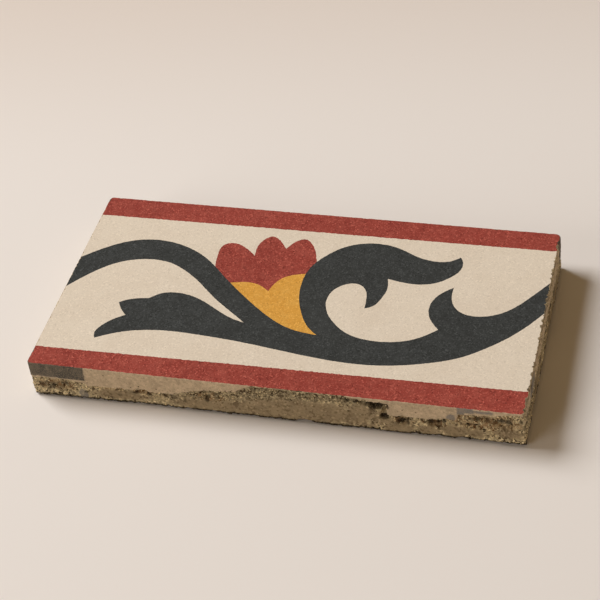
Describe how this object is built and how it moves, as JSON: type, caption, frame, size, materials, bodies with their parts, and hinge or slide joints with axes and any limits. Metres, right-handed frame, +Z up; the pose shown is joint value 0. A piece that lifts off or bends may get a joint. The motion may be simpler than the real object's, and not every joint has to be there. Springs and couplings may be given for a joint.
{
  "type": "cement border tile",
  "caption": "Pressed cement border tile: a flat rectangular block whose face carries a running scroll with a flower between two plain bands, inlaid flush in coloured cement.",
  "frame": {"origin": "middle of the underside, where the tile rests", "axes": "+X along the length with the flower left of the middle, +Y towards the band above the flower, +Z up through the coloured face"},
  "size_m": [0.2, 0.1, 0.018],
  "materials": {
    "cement": "matte"
  },
  "bodies": {
    "root": {"border_tile": "cement"}
  },
  "joints": []
}
